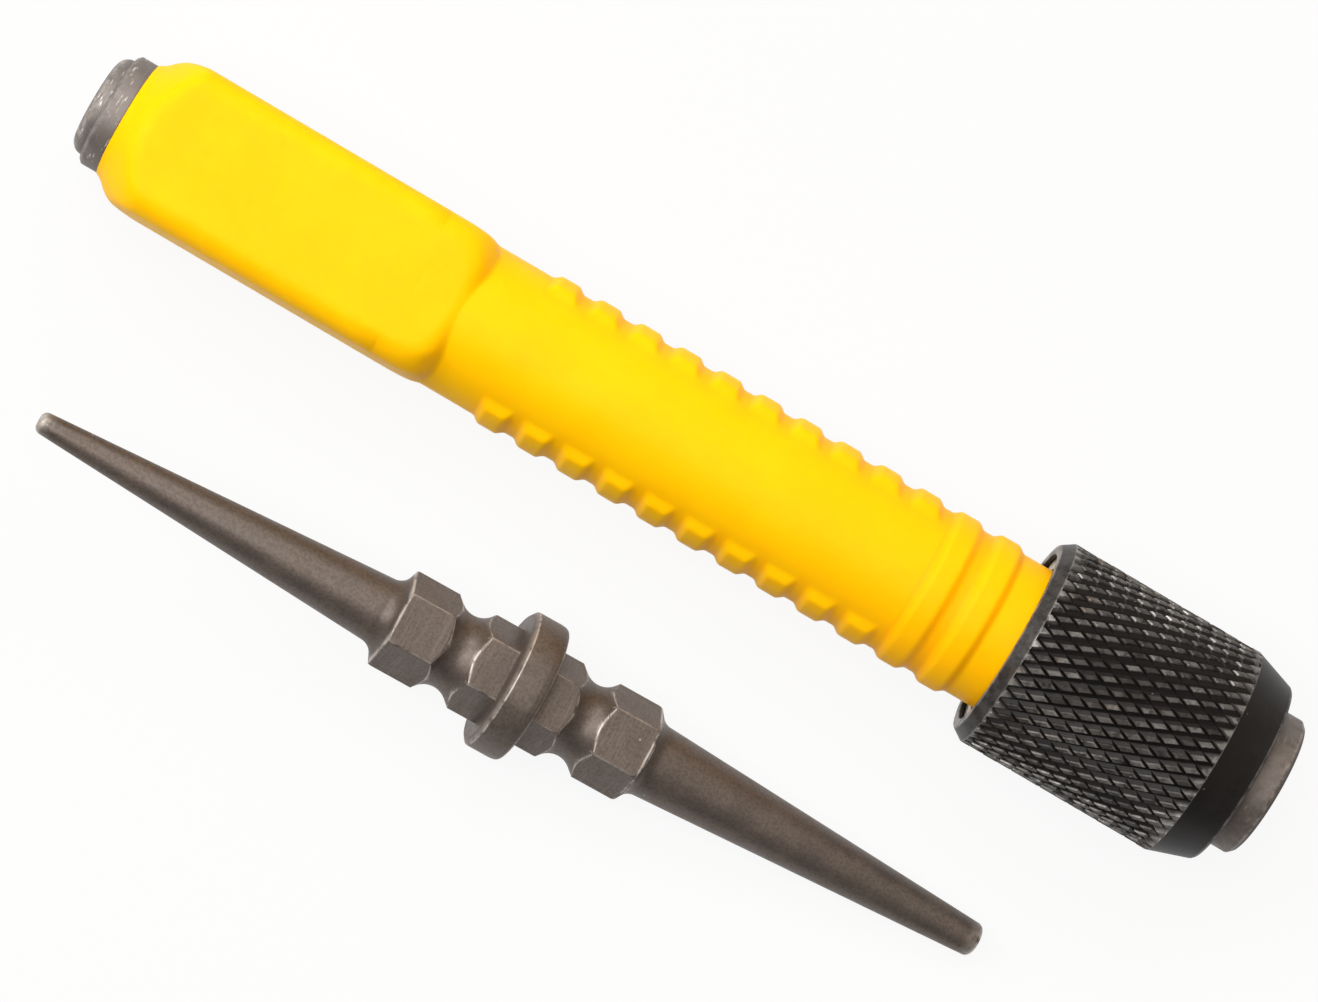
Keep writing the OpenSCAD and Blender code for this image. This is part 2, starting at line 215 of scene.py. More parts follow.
# Places on the grip between which its bevel and the arc at the square's end have their soft edges
bevel_done = square_at + 2.5
arc_from = end_mid - 0.6
arc_to = round_at + 0.4

# Places along the bit's axis, and along a shank from the flange's face
flange_at = small_l + shank_l
flange_end = flange_at + flange_t
flange_mid = flange_at + flange_t / 2
bit_l = flange_end + shank_l + large_l
groove_mid = hex_in_l + groove_l / 2
groove_end = hex_in_l + groove_l
root_at = shank_l - root_r

# Lay of the holder and of the bit on the surface that they rest on
holder_tilt = math.atan((collar_r - square_half) / (knurl_at - square_at))
holder_z = square_half * math.cos(holder_tilt) - square_at * math.sin(holder_tilt)
middle_x = nose_at * math.cos(holder_tilt) / 2
holder_y = (bit_apart + flange_r - collar_r) / 2
bit_rest_at = flange_end - flange_edge
bit_tilt = math.atan((flange_r - large_tip_d / 2) / (bit_l - tip_edge - bit_rest_at))
bit_z = (bit_rest_at - flange_mid) * math.sin(bit_tilt) + flange_r * math.cos(bit_tilt)
bit_x = bit_along * math.cos(holder_tilt) - middle_x
HOLDER = Matrix.Translation((-middle_x, holder_y, holder_z)) @ Matrix.Rotation(-holder_tilt, 4, "Y")
BIT = (Matrix.Translation((bit_x, holder_y - bit_apart, bit_z))
       @ Matrix.Rotation(math.radians(bit_yaw), 4, "Z")
       @ Matrix.Rotation(bit_tilt, 4, "Y")
       @ Matrix.Rotation(math.radians(bit_roll), 4, "X")
       @ Matrix.Translation((-flange_mid, 0, 0)))


# Shaping helpers
def smin(a, b, k):
    """The lower of two heights, with a rounding of about k where they meet."""
    h = np.clip(0.5 + 0.5 * (b - a) / k, 0, 1)
    return b * (1 - h) + a * h - k * h * (1 - h)


def smax(a, b, k):
    """The higher of two heights, with a rounding of about k where they meet."""
    return -smin(-a, -b, k)


def step(value):
    """0 below 0 and 1 above 1, with a soft S between."""
    t = np.clip(value, 0, 1)
    return t * t * (3 - 2 * t)


def near(a, b, k):
    """1 where a and b meet, and 0 some k away from there."""
    return np.exp(-((a - b) / k) ** 2)


def soft_corners(points, k=0.05):
    """Makes each corner of an outline (place, radius) a soft edge of about k, and holds the runs by it."""
    most = 0.2
    points = [np.array(p, float) for p in points]
    out = [points[0]]
    for before, p, after in zip(points, points[1:], points[2:]):
        back, on = before - p, after - p
        back *= min(k / np.hypot(*back), most)
        on *= min(k / np.hypot(*on), most)
        out += [p + 2 * back, p + back, p + on, p + 2 * on]
    return out + [points[-1]]


def hexagon(angle, flat, k):
    """Radius of a six-sided bar with corners rounded by about k."""
    off = np.abs((np.degrees(angle) + 30) % 60 - 30)
    return smin(flat / np.cos(np.radians(off)), flat / np.cos(np.radians(60 - off)), k)


# Mesh helpers
def add_object(name, data):
    """A new object in the scene."""
    thing = bpy.data.objects.new(name, data)
    bpy.context.scene.collection.objects.link(thing)
    return thing


def in_world(local, lay):
    """Points in mm in the lay's own frame, as points in m in the shared frame."""
    m = np.array(lay, float)
    return ((np.asarray(local, float) @ m[:3, :3].T + m[:3, 3]) * MM).tolist()


def make(name, local, faces, lay, body, node, slot, material, sharp, smooth=None, **fields):
    """A mesh piece from points in mm in the lay's own frame. It stands for the CAD node of its place."""
    mesh = bpy.data.meshes.new(name)
    mesh.from_pydata(in_world(local, lay), [], [tuple(int(i) for i in f) for f in faces])
    mesh.validate()
    mesh.update()
    places = mesh.attributes.new("lay", "FLOAT_VECTOR", "POINT")
    places.data.foreach_set("vector", np.asarray(local, np.float32).ravel())
    for key, value in fields.items():
        field = mesh.attributes.new(key, "FLOAT", "POINT")
        field.data.foreach_set("value", np.asarray(value, np.float32).ravel())
    mesh.polygons.foreach_set("use_smooth", np.array(smooth or [True] * len(mesh.polygons)))
    mesh.set_sharp_from_angle(angle=math.radians(sharp))
    mesh.materials.append(material)
    piece = add_object(name, mesh)
    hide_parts(node)
    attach(piece, body)
    return piece


def ring_faces(rows, n, closed=False):
    """Quads between rings of n points; closed joins the last ring to the first."""
    i = np.arange(rows if closed else rows - 1)[:, None]
    j = np.arange(n)[None, :]
    a = i * n
    b = ((i + 1) % rows) * n
    k = (j + 1) % n
    return np.stack([a + j, a + k, b + k, b + j], -1).reshape(-1, 4).tolist()


def around(a, r, angle):
    """Points at places a and radii r about the axis, row by row."""
    a, r, angle = np.broadcast_arrays(np.asarray(a, float), np.asarray(r, float), angle)
    return np.stack([a, r * np.cos(angle), r * np.sin(angle)], -1)


def turned(rows, start, end, n):
    """Points and faces of a closed turned solid from its rings of n points and its two end points."""
    points = np.concatenate([np.stack(rows).reshape(-1, 3), [start, end]])
    first, last = len(points) - 2, len(points) - 1
    base = (len(rows) - 1) * n
    faces = ring_faces(len(rows), n)
    faces += [(first, (j + 1) % n, j) for j in range(n)]
    faces += [(last, base + j, base + (j + 1) % n) for j in range(n)]
    return points, faces


# Materials: every one is made of nodes on the piece's own coordinates in mm
class Finish:
    """A node material that is put together step by step."""

    def __init__(self, name):
        self.m = bpy.data.materials.new(name)
        self.m.use_nodes = True
        self.t = self.m.node_tree
        self.t.nodes.clear()
        self.shader = self.add("ShaderNodeBsdfPrincipled")
        self.output = self.add("ShaderNodeOutputMaterial", {0: self.shader.outputs[0]})

    def add(self, kind, inputs=None, **settings):
        n = self.t.nodes.new(kind)
        for key, value in settings.items():
            setattr(n, key, value)
        for key, value in (inputs or {}).items():
            self.put(n, key, value)
        return n

    def put(self, n, key, value):
        if isinstance(value, bpy.types.NodeSocket):
            self.t.links.new(value, n.inputs[key])
        else:
            n.inputs[key].default_value = value

    def attribute(self, name, output="Fac"):
        return self.add("ShaderNodeAttribute", attribute_name=name).outputs[output]

    def place(self):
        """The object's own coordinates in mm."""
        metres = self.add("ShaderNodeTexCoord").outputs["Object"]
        return self.stretch(metres, (1 / MM, 1 / MM, 1 / MM))

    def stretch(self, vector, by):
        return self.add("ShaderNodeVectorMath", {0: vector, 1: by}, operation="MULTIPLY").outputs[0]

    def noise(self, vector, scale, detail=4, rough=0.55):
        inputs = {"Vector": vector, "Scale": scale, "Detail": detail, "Roughness": rough}
        return self.add("ShaderNodeTexNoise", inputs).outputs["Fac"]

    def specks(self, vector, scale, size, share):
        """Small round dots in a share of the cells of a grid."""
        soft = 0.55
        cell = self.add("ShaderNodeTexVoronoi", {"Vector": vector, "Scale": scale})
        dot = self.span(cell.outputs["Distance"], size, size * soft)
        pick = self.add("ShaderNodeSeparateColor", {0: cell.outputs["Color"]}).outputs[0]
        return self.times(dot, self.math("GREATER_THAN", pick, 1 - share))

    def span(self, value, low, high, to_low=0.0, to_high=1.0):
        """Goes softly from to_low to to_high while the value goes from low to high."""
        inputs = {"Value": value, "From Min": low, "From Max": high, "To Min": to_low, "To Max": to_high}
        return self.add("ShaderNodeMapRange", inputs, interpolation_type="SMOOTHSTEP").outputs[0]

    def math(self, operation, a, b=0.0, clamp=False):
        return self.add("ShaderNodeMath", {0: a, 1: b}, operation=operation, use_clamp=clamp).outputs[0]

    def times(self, a, b):
        return self.math("MULTIPLY", a, b)

    def mix(self, share, a, b):
        return self.add("ShaderNodeMix", {"Factor": share, 6: a, 7: b}, data_type="RGBA").outputs[2]

    def axis(self, vector, k):
        return self.add("ShaderNodeSeparateXYZ", {0: vector}).outputs[k]

    def bump(self, height, strength, distance, after=None):
        inputs = {"Height": height, "Strength": strength, "Distance": distance * MM}
        if after is not None:
            inputs["Normal"] = after
        return self.add("ShaderNodeBump", inputs).outputs[0]

    def set(self, **sockets):
        """Fills the shader's sockets, named with _ for a space, and gives the finished material."""
        for key, value in sockets.items():
            self.put(self.shader, key.replace("_", " "), value)
        return self.m


def rgb(r, g, b):
    """A colour as it shows, 0 to 255, as the light values that nodes take."""
    lin = [c / 255 / 12.92 if c <= 10 else ((c / 255 + 0.055) / 1.055) ** 2.4 for c in (r, g, b)]
    return (*lin, 1.0)


def plastic():
    """Yellow plastic: painted shade deepening toward the collar and in hollows, scuffed on edges, with a
    few specks.
    """
    f = Finish("yellow_moulded_plastic")
    lay = f.attribute("lay", "Vector")
    broad = f.span(f.noise(lay, 0.22, 3), 0.35, 0.7)
    colour = f.mix(broad, rgb(255, 190, 0), rgb(255, 194, 2))
    # Painted shade: the colour deepens toward the collar, where the light falls off along the grip.
    colour = f.mix(f.span(f.axis(lay, 0), 40, 78, 0, 0.6), colour, rgb(253, 180, 2))
    # Painted shade: hollows, valleys and the scoop go a deeper orange.
    colour = f.mix(f.times(f.attribute("hollow"), 0.4), colour, rgb(250, 158, 2))
    scuff = f.times(f.attribute("edge"), f.span(f.noise(lay, 1.3, 6, 0.7), 0.5, 0.68))
    colour = f.mix(f.times(scuff, 0.3), colour, rgb(255, 204, 24))
    dust = f.specks(lay, 0.3, 0.035, 0.16)
    colour = f.mix(f.times(dust, 0.8), colour, rgb(92, 62, 18))
    grain = f.noise(lay, 7, 3)
    waves = f.noise(lay, 0.55, 2)
    normal = f.bump(grain, 0.14, 0.02, f.bump(waves, 0.22, 0.06))
    rough = f.math("ADD", f.span(f.noise(lay, 0.9, 5, 0.65), 0.3, 0.75, 0.38, 0.52), f.times(scuff, 0.12))
    return f.set(Base_Color=colour, Roughness=rough, Normal=normal, Specular_IOR_Level=0.06,
                 Subsurface_Weight=0.25, Subsurface_Radius=(1.0, 0.4, 0.05), Subsurface_Scale=0.8 * MM)


def core_steel():
    """Turned steel: grey with nicks and painted glints at the strike end, browner at the nose, and painted
    shade inside.
    """
    f = Finish("turned_core_steel")
    lay = f.attribute("lay", "Vector")
    turning = f.noise(f.stretch(lay, (9, 0.25, 0.25)), 1.0, 4, 0.6)
    patch = f.span(f.noise(lay, 0.5, 4, 0.55), 0.35, 0.7)
    nose = f.span(f.axis(lay, 0), 60, 80)
    grey = f.mix(patch, rgb(118, 112, 110), rgb(125, 119, 116))
    brown = f.mix(patch, rgb(102, 94, 90), rgb(108, 100, 95))
    colour = f.mix(nose, grey, brown)
    # Nicks, partly real marks and partly painted glints: near-white streaks around the strike end.
    nicks_and_glints = f.span(f.noise(f.stretch(lay, (3.6, 0.7, 0.7)), 1.1, 6, 0.72), 0.58, 0.66)
    colour = f.mix(f.times(nicks_and_glints, f.span(nose, 0, 1, 0.75, 0.12)), colour, rgb(232, 228, 224))
    worn = f.times(f.attribute("wear"), f.span(f.noise(lay, 1.4, 5, 0.7), 0.36, 0.62))
    colour = f.mix(f.times(worn, 0.5), colour, rgb(206, 201, 195))
    # Painted shade: the foot of the head, the nose's rim and the bore inside go dark.
    colour = f.mix(f.times(f.attribute("hollow"), 0.8), colour, rgb(66, 60, 56))
    rough = f.math("ADD", f.span(patch, 0, 1, 0.5, 0.58), f.times(turning, 0.1))
    normal = f.bump(turning, 0.16, 0.02, f.bump(nicks_and_glints, 0.12, 0.03))
    return f.set(Base_Color=colour, Roughness=rough, Normal=normal, Metallic=0.7)


def black_steel():
    """Blackened steel with metal showing where it is worn, and dust."""
    f = Finish("knurled_black_steel")
    lay = f.attribute("lay", "Vector")
    patch = f.span(f.noise(lay, 0.5, 4, 0.55), 0.35, 0.7)
    colour = f.mix(patch, rgb(27, 25, 25), rgb(31, 28, 28))
    worn = f.times(f.attribute("wear"), f.span(f.noise(lay, 1.2, 6, 0.7), 0.3, 0.62))
    brown = f.span(f.noise(lay, 0.33, 3), 0.55, 0.7)
    metal = f.mix(brown, rgb(200, 197, 195), rgb(184, 170, 156))
    colour = f.mix(f.times(worn, 0.85), colour, metal)
    dust = f.specks(lay, 1.1, 0.07, 0.25)
    colour = f.mix(f.times(dust, 0.5), colour, rgb(170, 164, 158))
    grain = f.noise(lay, 5, 4, 0.65)
    rough = f.span(worn, 0, 1, 0.46, 0.3)
    metallic = f.span(worn, 0, 1, 0.3, 0.8)
    normal = f.bump(grain, 0.2, 0.02)
    return f.set(Base_Color=colour, Roughness=rough, Normal=normal, Metallic=metallic,
                 Specular_IOR_Level=0.25)


def bit_steel():
    """Hardened brown steel: mottled, with milled lines, a few flecks, painted shade in its hollows and
    bright worn edges.
    """
    f = Finish("hardened_bit_steel")
    lay = f.attribute("lay", "Vector")
    patch = f.span(f.noise(lay, 0.45, 5, 0.6), 0.35, 0.68)
    colour = f.mix(patch, rgb(101, 92, 87), rgb(109, 98, 91))
    mottle = f.noise(lay, 4.5, 5, 0.7)
    colour = f.mix(f.span(mottle, 0.4, 0.64, 0, 0.6), colour, rgb(78, 70, 65))
    milled = f.times(f.attribute("lines"), f.noise(f.stretch(lay, (9, 0.3, 0.3)), 1.0, 4, 0.65))
    colour = f.mix(f.span(milled, 0.44, 0.72, 0, 0.2), colour, rgb(158, 148, 140))
    fleck = f.specks(lay, 0.8, 0.07, 0.12)
    colour = f.mix(f.times(fleck, 0.6), colour, rgb(206, 198, 190))
    # Painted shade: the groove next to the hexagons, the roots and the flange's foot go dark.
    colour = f.mix(f.times(f.attribute("hollow"), 0.5), colour, rgb(74, 65, 60))
    worn = f.times(f.attribute("wear"), f.span(f.noise(lay, 0.9, 5, 0.7), 0.36, 0.56))
    colour = f.mix(f.times(worn, 0.85), colour, rgb(222, 215, 208))
    rough = f.math("ADD", f.span(patch, 0, 1, 0.4, 0.5), f.times(mottle, 0.08))
    normal = f.bump(milled, 0.3, 0.02, f.bump(mottle, 0.2, 0.02))
    return f.set(Base_Color=colour, Roughness=rough, Normal=normal, Metallic=0.65)


def plain_steel(name, dark, light, rough=(0.25, 0.4)):
    """Clean steel between a dark and a light shade."""
    f = Finish(name)
    place = f.place()
    patch = f.span(f.noise(place, 0.9, 5, 0.6), 0.35, 0.7)
    lines = f.noise(place, 3.0, 4, 0.6)
    colour = f.mix(f.times(lines, 0.4), f.mix(patch, dark, light), rgb(196, 190, 182))
    normal = f.bump(lines, 0.2, 0.02)
    return f.set(Base_Color=colour, Roughness=f.span(patch, 0, 1, *rough), Normal=normal, Metallic=0.85)


# Grip
def grip_angles():
    """Angles round the sleeve, closer together at the corners of its square."""
    flat_deg = 32
    flats = np.arange(-flat_deg, flat_deg, 2)
    corners = np.arange(flat_deg, 90 - flat_deg, 1)
    quarter = np.concatenate([flats, corners])
    return np.radians(np.concatenate([quarter + 90 * q for q in range(4)]))


def grip_places():
    """Places of the sleeve's rows, closer together where its outline bends."""
    gap = 0.1
    rib_rows = np.append(np.linspace(0, rib_foot, 19), np.linspace(rib_foot, rib_pitch, 4)[1:-1])
    rows = [np.arange(sleeve_at, bevel_done, 0.08), np.linspace(bevel_done, arc_from - gap, 12)]
    rows += [np.linspace(arc_from, arc_to, 60), np.linspace(arc_to + gap, ribs_at - gap, 8)]
    rows += [ribs_at + rib_pitch * k + rib_rows for k in range(rib_count)]
    rows += [np.linspace(tail_at + gap, shoulder_at, 12)]
    return np.unique(np.round(np.concatenate(rows), 4))


def rounded_square(c, s):
    """Radius of the square at angles of cosine c and sine s, and how far past a flat's end each one is."""
    inner = square_half - square_round
    flat = square_half / np.maximum(c, s)
    past = flat * np.minimum(c, s) - inner
    reach = inner ** 2 * ((c + s) ** 2 - 2) + square_round ** 2
    corner = inner * (c + s) + np.sqrt(np.maximum(reach, 0))
    return np.where(past <= 0, flat, corner), past


def bevel_radius(a):
    """Radius of the bevel at the strike end, with a soft start at the lip."""
    inset, soft = 0.02, 0.5
    return smax(lip_r, lip_r + (a - bevel_at) * bevel_slope, soft) - inset


def arc_radius(a, square):
    """Radius of the arc at the square's end, which starts earlier on the flats than at the corners."""
    most_early = 0.55
    corner_share = (square - square_half) / (square.max() - square_half)
    run = np.clip(a + most_early * (1 - corner_share) ** 2 - end_mid, 0, arc_to - end_mid)
    return np.where(a > arc_from, end_in + np.sqrt(end_r ** 2 - run ** 2), 2 * end_r)


def rib_heights(a, s):
    """Height of the ribs, side pads and then full rings, and how much painted shade lies in the valleys
    between them.
    """
    pad_ramp, ring_ramp, pad_end = 1.15, 1.2, 0.9
    valley_share, valley_side, valley_fade = 0.6, 0.82, 0.25
    count = np.floor((a - ribs_at) / rib_pitch)
    along = (a - ribs_at) % rib_pitch
    full = count >= rib_count - rib_rings
    ramp = (rib_foot - rib_top) / 2 * np.where(full, ring_ramp, pad_ramp)
    here = (a >= ribs_at) & (count < rib_count)
    height = rib_h * step(along / ramp) * step((rib_foot - along) / ramp) * here
    pad = height * step((pad_h / 2 - (round_r + height) * s) / pad_end)
    valley = (1 - height / rib_h) * ((a > ribs_at) & (a < tail_at))
    pad_valley = valley_share * step((valley_side - s) / valley_fade)
    return np.where(full, height, pad), valley * np.where(full, 1, pad_valley)


def grip():
    """Yellow sleeve: a rounded square with shaped ends, and a round part with ribbed pads and two rings."""
    bevel_soft, arc_soft, foot_soft = 0.8, 0.7, 0.3
    mouth_edge, mouth_l = 0.05, 0.04
    angle = grip_angles()
    a = grip_places()[:, None]
    c, s = np.abs(np.cos(angle)), np.abs(np.sin(angle))
    square, past = rounded_square(c, s)
    bevel = bevel_radius(a)
    arc = arc_radius(a, square)
    bar = smin(smin(square, bevel, bevel_soft), arc, arc_soft)
    bar = np.where(a > end_mid, smax(bar, round_r, foot_soft), bar)
    bump, valley = rib_heights(a, s)
    r = np.where(a < arc_to, bar, round_r + bump) - mouth_edge * (a < sleeve_at + mouth_l)
    # Painted shade in the valleys between ribs and, faintly, in the scoop at the square's end.
    scoop = step((square - bar) / 1.2) * ((a > end_mid) & (a < round_at))
    hollow = np.maximum(valley, 0.1 * scoop)
    bevel_edge = near(square, bevel, 0.3) * (a < bevel_done)
    arc_edge = near(square, arc, 0.2) * (a > end_mid)
    corners = near(past, 0.7, 0.7) * (a < end_mid)
    edge = np.maximum.reduce([bevel_edge, arc_edge, corners, 0.5 * step(bump / rib_h)])
    hole = np.array([shoulder_at, (shoulder_at + sleeve_at) / 2, sleeve_at])[:, None]
    rows = np.concatenate([around(a, r, angle), around(hole, shaft_r + fit_clear, angle)])
    faces = ring_faces(len(rows), len(angle), closed=True)
    inside = np.zeros((len(hole), len(angle)))
    make("grip_sleeve", rows.reshape(-1, 3), faces, HOLDER, "holder", "grip", "grip_plastic", plastic(),
         sharp=50, hollow=np.concatenate([hollow, inside]), edge=np.concatenate([edge, inside]))


# Core
def drill_balls(piece):
    """Cuts the two cross holes of the locking balls, with narrow seats at the socket, into the core."""
    past_flat, past_barrel = 0.02, 0.5
    outline = [(0.0, seat_r), (socket_flat + past_flat, seat_r), (lock_r - ball_r / 2, hole_r),
               (barrel_r + past_barrel, hole_r)]
    angle = np.radians(np.arange(0, 360, 10))
    for side in (-1, 1):
        rows = [np.stack([ball_at + r * np.cos(angle), 0 * angle + side * y, -side * r * np.sin(angle)], -1)
                for y, r in outline]
        points, faces = turned(rows, (ball_at, 0, 0), (ball_at, side * outline[-1][0], 0), len(angle))
        mesh = bpy.data.meshes.new("ball_hole")
        mesh.from_pydata(in_world(points, HOLDER), [], faces)
        drill = add_object("ball_hole", mesh)
        cut = piece.modifiers.new("ball_hole", "BOOLEAN")
        cut.object = drill
        cut.solver = "EXACT"
        bpy.context.view_layer.update()
        drilled = piece.evaluated_get(bpy.context.evaluated_depsgraph_get())
        result = bpy.data.meshes.new_from_object(drilled)
        piece.modifiers.clear()
        piece.data = result
        bpy.data.objects.remove(drill)


def core_outside():
    """Outline of the core from the strike face to the nose, as (place, radius)."""
    strike_face = [(0, strike_r / 3), (0, strike_r * 2 / 3)]
    arc = np.radians(np.linspace(90, 0, 9))
    strike = [(strike_round * (1 - math.sin(t)), strike_r - strike_round * (1 - math.cos(t))) for t in arc]
    strike_hold = strike_l - 0.05
    shaft_hold = sleeve_at + 2
    barrel_hold = collar_end - 1
    nose_face_r = 4.3
    return strike_face + strike + soft_corners([
        (strike_hold, strike_r), (strike_l, strike_r), (strike_l, head_r - head_edge),
        (strike_l + head_edge, head_r), (sleeve_at, head_r), (sleeve_at, shaft_r), (shaft_hold, shaft_r),
        (shoulder_at, shaft_r), (shoulder_at, shoulder_r), (shoulder_front, shoulder_r),
        (shoulder_front, barrel_r), (barrel_hold, barrel_r), (nose_at - nose_edge, barrel_r),
        (nose_at, barrel_r - nose_edge), (nose_at, nose_face_r)])


def core_inside(angle):
    """Socket with a softly broken mouth, and storage bore with its drill point, as (place, radius)."""
    mouth_r, lip_out, bore_edge, edge_l, mouth_l = 0.14, 0.03, 0.08, 0.09, 0.3
    six = hexagon(angle, socket_flat, 0.1)
    socket_at = nose_at - socket_l
    bore_at = nose_at - bore_l
    bore_hold = bore_at + 14
    point_l = 0.8
    point_r = bore_r - point_l * math.tan(math.radians(drill_deg))
    socket = [(nose_at, six + mouth_r), (nose_at - edge_l, six + lip_out), (nose_at - mouth_l, six),
              (ball_at, six), (socket_at, six)]
    bore = [(socket_at, bore_r + bore_edge), (socket_at - edge_l, bore_r), (bore_hold, bore_r),
            (bore_at, bore_r), (bore_at - point_l, point_r)]
    return socket + bore


def core():
    """Steel core: strike end, shaft, shoulder, and barrel with its six-sided socket and storage bore."""
    angle = np.radians(np.arange(0, 360, 2.5))
    rows = [around(place, r, angle) for place, r in core_outside() + core_inside(angle)]
    drill_tip = nose_at - bore_l - bore_r / math.tan(math.radians(drill_deg))
    points, faces = turned(rows, (0, 0, 0), (drill_tip, 0, 0), len(angle))
    place, radius = points[:, 0], np.hypot(points[:, 1], points[:, 2])
    strike_worn = near(place, 0.25, 0.3) * near(radius, strike_r - 0.2, 0.4)
    head_worn = near(place, strike_l + 0.15, 0.25) * (radius > head_r - 0.3)
    nose_worn = near(place, nose_at - nose_edge, 0.08) * (radius > barrel_r - 0.2)
    wear = np.maximum.reduce([strike_worn, 0.4 * head_worn, nose_worn])
    # Painted shade at the foot of the head, on the nose's rim and inside the bore.
    head_foot = near(place, strike_l, 0.05) * (radius < head_r - 0.35)
    nose_rim = near(place, nose_at, 0.15) * (radius > barrel_r - 0.6)
    inside_r, inside_from = 4.1, 60
    inside = (radius < inside_r) * (place > inside_from)
    hollow = np.maximum.reduce([0.1 * head_foot, 0.8 * nose_rim, 0.6 * inside])
    piece = make("core_steel_shank", points, faces, HOLDER, "holder", "core_shank", "core_steel",
                 core_steel(), sharp=40, wear=wear, hollow=hollow)
    drill_balls(piece)


# Collar
class Knurl:
    """The collar's mesh, put together face by face. In every other row the cells lie half a cell on."""

    row_l = (cone_at - knurl_at) / knurl_rows
    longer, narrower = 1.16, 0.92
    along = along_share * longer
    across = across_share * narrower
    half = (along + across) / 2
    skew = (along - across) / 2
    rim_half = across_share / 2
    rim_worn = 0.5
    tip_worn = 0.3

    def __init__(self):
        self.points, self.wear, self.faces, self.smooth = [], [], [], []
        self.cross = {(i, row): self.spot(collar_r - knurl_depth, i + 0.5, row)
                      for row in range(knurl_rows + 1) for i in range(knurl_count)}

    def spot(self, r, i, row, rise=0.0, worn=0.0):
        """A point at cell i of a row, where rise counts rows along the axis from the row's middle."""
        return self.point(knurl_at + self.row_l * (row + rise), r, i, row, worn)

    def point(self, place, r, i, row, worn):
        turn = math.radians(360 / knurl_count * (i + (row % 2) / 2))
        self.points.append((place, -r * math.sin(turn), -r * math.cos(turn)))
        self.wear.append(worn)
        return len(self.points) - 1

    def at(self, i, row):
        """The crossing of two grooves that follows cell i of a row."""
        return self.cross[(i % knurl_count, row)]

    def face(self, ids, soft=False):
        self.faces.append(ids)
        self.smooth.append(soft)

    def band(self, outer, inner, soft=False):
        """Faces between two loops of as many points."""
        for k in range(len(outer)):
            m = (k + 1) % len(outer)
            self.face([outer[m], inner[m], inner[k], outer[k]], soft)

    def diamond(self, i, row):
        """A whole diamond: a crown, its worn edge and a steep brink, and then the groove's floor."""
        low = RNG.uniform(0, 0.03)
        rub = RNG.uniform(0.25, 1.0) ** 1.5
        half, skew = self.half, self.skew
        shape = [(-half / 2, -skew), (skew / 2, half), (half / 2, skew), (-skew / 2, -half)]
        brink, edge, crown = [
            [self.spot(collar_r - low - drop, i + u * size, row, v * size, worn) for u, v in shape]
            for size, drop, worn in ((1.1, 0.17, 0), (0.97, 0.05, rub), (0.76, 0, rub * 0.3))]
        self.band(brink, edge)
        self.band(edge, crown)
        self.face(crown)
        before, after = (self.at(i - 1 + row % 2, row + way) for way in (-1, 1))
        self.band([self.at(i - 1, row), after, self.at(i, row), before], brink)

    def cut_row(self, row, way):
        """The first or the last row, cut across its middle, and its rim. Way leads to the whole rows."""
        half, skew = self.half, self.skew
        shape = [(-self.rim_half, 0, self.rim_worn), (skew / 2, half, self.tip_worn),
                 (half / 2, skew, self.tip_worn), (self.rim_half, 0, self.rim_worn)]
        rim = []
        for i in range(knurl_count):
            start, far, side, cut = [self.spot(collar_r, i + way * u, row, way * v, worn)
                                     for u, v, worn in shape]
            past = self.at(i - 1 + row % 2, row + way)
            on, off = [self.at(i, row), self.at(i - 1, row)][::way]
            self.face([start, far, side, cut])
            self.face([cut, side, on])
            self.face([off, past, far, start])
            self.face([past, on, side, far])
            rim += [start, cut][::way]
        for i in range(knurl_count):
            ends = [rim[(2 * i + 2) % len(rim)], rim[2 * i + 1]]
            self.face(ends[::way] + [self.at(i, row)])
        return rim

    def ring(self, place, r, row, worn):
        """A ring of points in line with the rim of a cut row."""
        return [self.point(place, r, i + side, row, worn)
                for i in range(knurl_count) for side in (-self.rim_half, self.rim_half)]


def collar_outline():
    """Outline of the collar from the knurl's back rim through the bore to its front rim."""
    back_r, face_r = collar_r - back_drop, collar_r - front_drop
    slot_at, slot_end = ring_at - ring_play, ring_at + ring_t + ring_play
    slot_r = ring_out_r + ring_play
    slope = front_drop / (front_l - front_edge)
    edge, rim_in, back_edge, mouth_l, cone_hold, cone_rim = 0.08, 0.12, 0.03, 0.06, 0.2, 0.04
    return soft_corners([
        (knurl_at - rim_in, collar_r - rim_in * back_drop / back_l), (collar_at + rim_in, back_r + edge),
        (collar_at, back_r - back_edge), (collar_at, rear_r + edge), (collar_at + mouth_l, rear_r),
        (slot_at, rear_r), (slot_at, slot_r), (slot_end, slot_r), (slot_end, rear_r),
        (step_at, rear_r), (step_at, recess_r), (ramp_back, recess_r), (ramp_front, land_r),
        (collar_end - edge, land_r), (collar_end, land_r + edge), (collar_end, face_r - front_edge),
        (collar_end - front_edge, face_r), (cone_at + cone_hold, collar_r - cone_hold * slope),
        (cone_at + cone_rim, collar_r - cone_rim * slope)], k=0.06)


def collar_wear(place, r):
    """Wear of the collar's plain ends: on their outer edges, and a little all over the chamfer."""
    if r <= rear_r - 0.2:
        return 0.0
    edges = max(0.5 * near(place, collar_at, 0.06), 0.4 * near(place, collar_end - front_edge, 0.06))
    chamfer = place < knurl_at and r > collar_r - back_drop - 0.05
    return max(edges, 0.08) if chamfer else edges


